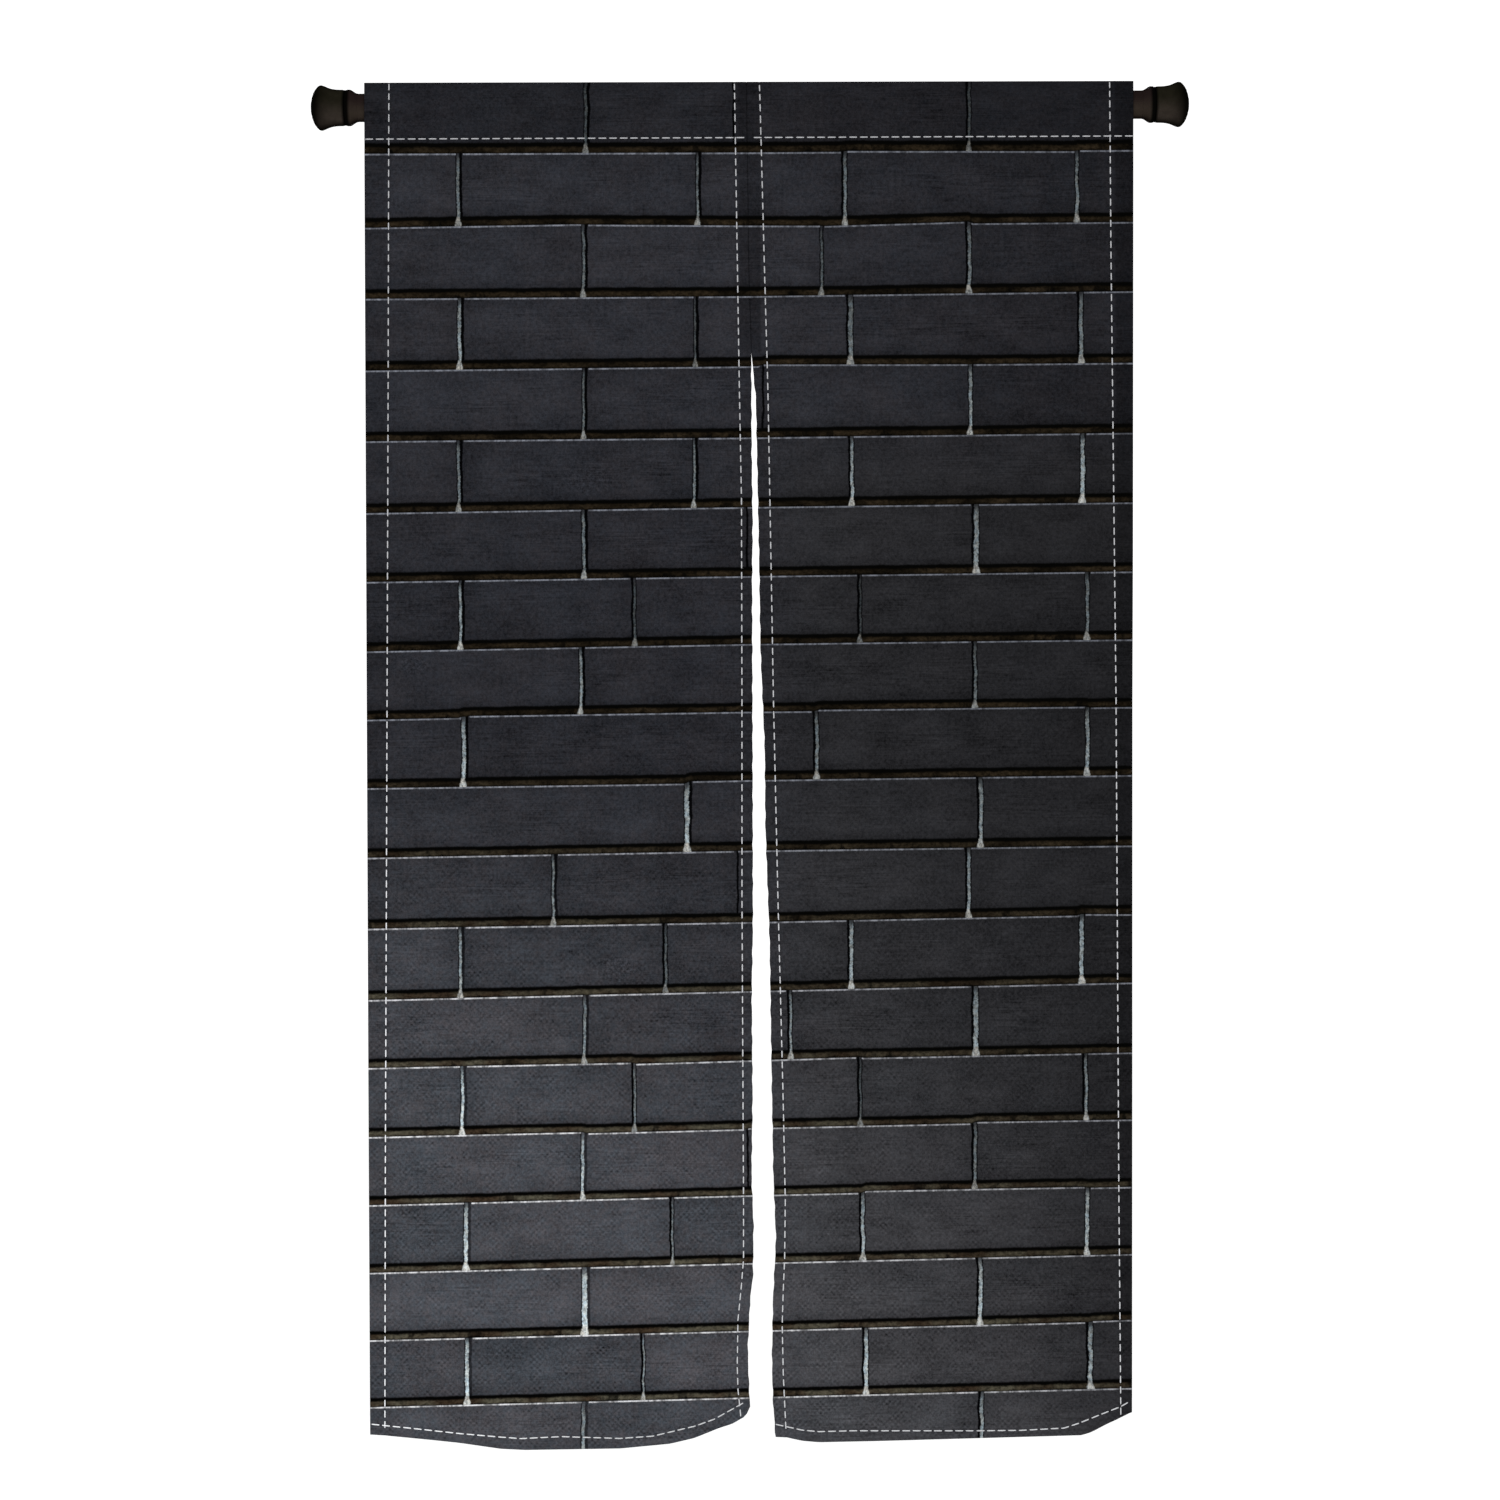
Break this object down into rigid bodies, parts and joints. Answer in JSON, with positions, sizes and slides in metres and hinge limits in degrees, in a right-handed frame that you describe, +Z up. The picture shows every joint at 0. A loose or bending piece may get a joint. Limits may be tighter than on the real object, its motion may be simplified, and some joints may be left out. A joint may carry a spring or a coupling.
{
  "type": "noren curtain with tension rod",
  "caption": "Split doorway curtain in dark brick-print cloth, sewn together at the top and hung by its pocket on a spring rod with rubber feet.",
  "frame": {"origin": "on the rod's axis at mid-span", "axes": "+X along the rod to the right as seen from the printed front, +Y towards the back, +Z up; the cloth hangs along -Z"},
  "size_m": [0.972, 0.0498, 1.5146],
  "materials": {
    "printed_cloth": "plain-woven polyester linen printed with a dark brick wall, matt, paler on the back",
    "stitch_thread": "pale grey sewing thread in a long running stitch",
    "rod_paint": "dark oil-rubbed bronze paint, satin",
    "foot_rubber": "moulded dark brown rubber, soft satin"
  },
  "bodies": {
    "root": {"panel_left": "printed_cloth", "panel_right": "printed_cloth", "rod_tube": "rod_paint", "collar_left": "rod_paint", "collar_right": "rod_paint", "foot_left": "foot_rubber", "foot_right": "foot_rubber"}
  },
  "joints": []
}
